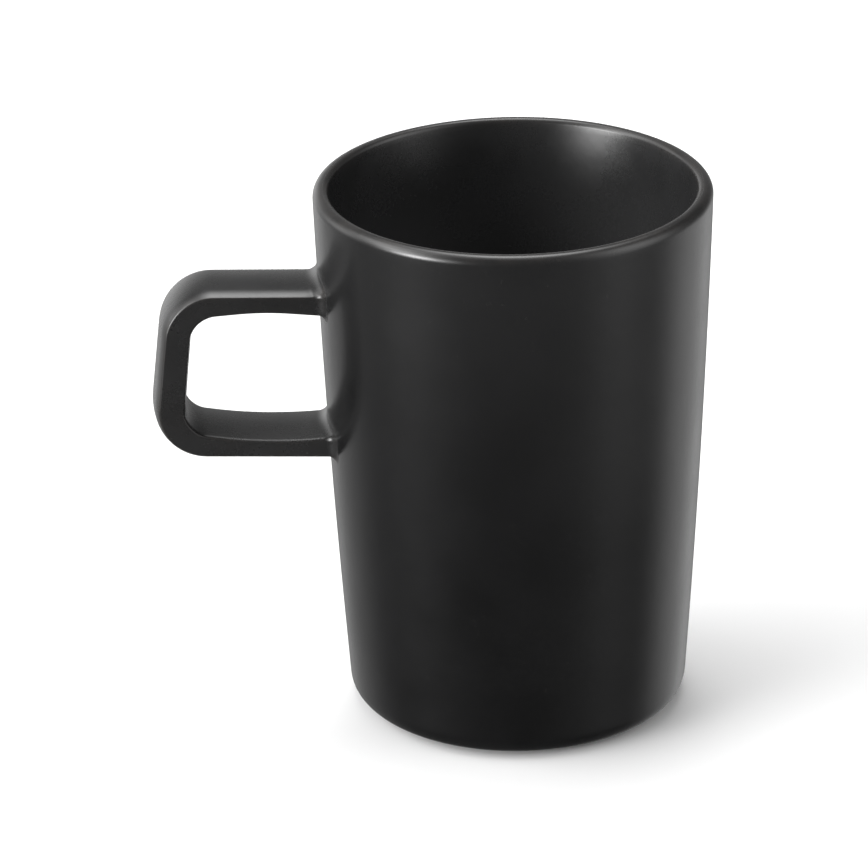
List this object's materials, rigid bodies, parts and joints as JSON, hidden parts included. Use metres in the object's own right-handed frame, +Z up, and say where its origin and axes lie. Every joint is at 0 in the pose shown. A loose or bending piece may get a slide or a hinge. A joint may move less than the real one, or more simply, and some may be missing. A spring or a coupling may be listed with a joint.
{
  "type": "ceramic mug",
  "caption": "Tall tapered ceramic mug with a matt black glaze, a rounded lip, a squared strap handle and a bare clay foot ring.",
  "frame": {"origin": "centre of the foot ring on the mug's axis, in the plane of the table that it stands on", "axes": "+Z up along the mug's axis, the handle points along -X, +Y completes the right-handed frame"},
  "size_m": [0.1132, 0.0798, 0.1114],
  "materials": {
    "fired_clay": "unglazed buff stoneware, wiped and lightly sanded at the foot",
    "luting_slip": "fired slip, smoothed by a wet brush",
    "outer_glaze": "matt black glaze with a soft satin sheen",
    "inner_glaze": "matt black glaze with a soft satin sheen"
  },
  "bodies": {
    "root": {"clay_body": "fired_clay", "clay_handle": "fired_clay", "upper_joint_slip": "luting_slip", "lower_joint_slip": "luting_slip", "outer_glaze": "outer_glaze", "inner_glaze": "inner_glaze", "handle_glaze": "outer_glaze", "recess_glaze": "outer_glaze"}
  },
  "joints": []
}
